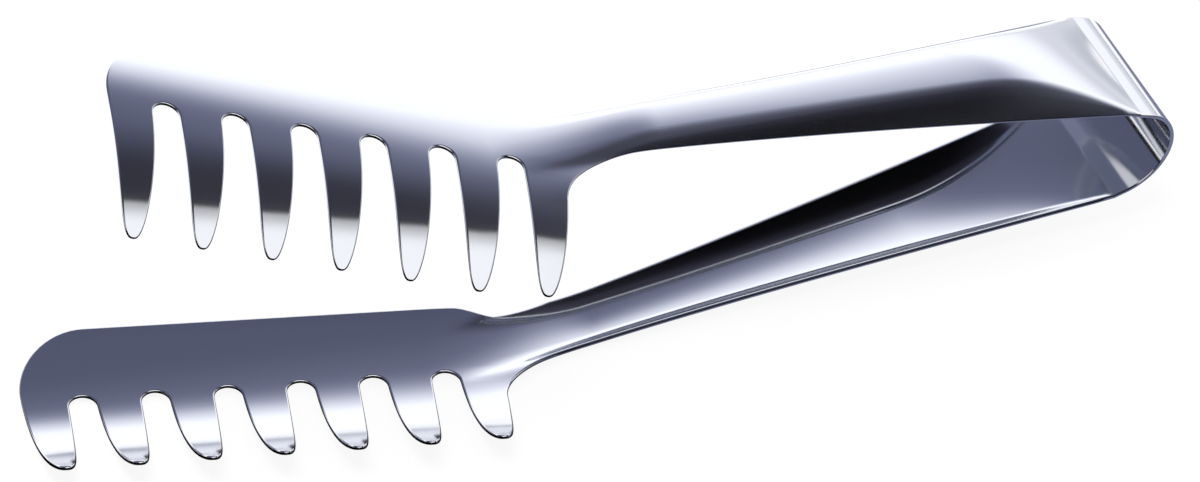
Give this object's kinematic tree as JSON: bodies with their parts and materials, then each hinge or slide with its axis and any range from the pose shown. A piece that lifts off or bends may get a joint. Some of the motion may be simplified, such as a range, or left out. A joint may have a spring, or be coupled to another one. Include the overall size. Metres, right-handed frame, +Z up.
{
  "type": "spaghetti tongs",
  "caption": "Folded sheet-steel pasta tongs: two mirrored side combs of curled teeth on channel handles, joined by a springy bow.",
  "frame": {"origin": "centre of the bounding box's bottom face, on the surface that the tongs lie on", "axes": "+X from the combs to the bow along the handles, +Y away from the tooth tips, +Z up, as the tongs lie on their lower arm"},
  "size_m": [0.212, 0.0678, 0.0745],
  "materials": {
    "polished_steel": "mirror-polished stainless steel"
  },
  "bodies": {
    "lower_arm": {"lower_arm": "polished_steel"},
    "spring_bow": {"spring_bow": "polished_steel"},
    "upper_arm": {"upper_arm": "polished_steel"}
  },
  "joints": [
    {"name": "lower_bow_flex", "type": "hinge", "parent": "lower_arm", "child": "spring_bow", "pos_m": [0.10217, -0.00087, 0.01105], "axis": [0, -0.979, -0.204], "range_deg": [0, 6.8], "stiffness_Nm_per_rad": 13},
    {"name": "upper_bow_flex", "type": "hinge", "parent": "spring_bow", "child": "upper_arm", "pos_m": [0.10322, -0.00369, 0.02461], "axis": [0, -0.979, -0.204], "range_deg": [0, 6.8], "stiffness_Nm_per_rad": 13}
  ],
  "couplings": [
    {"joint": "upper_bow_flex", "follows": "lower_bow_flex", "ratio": 1}
  ]
}
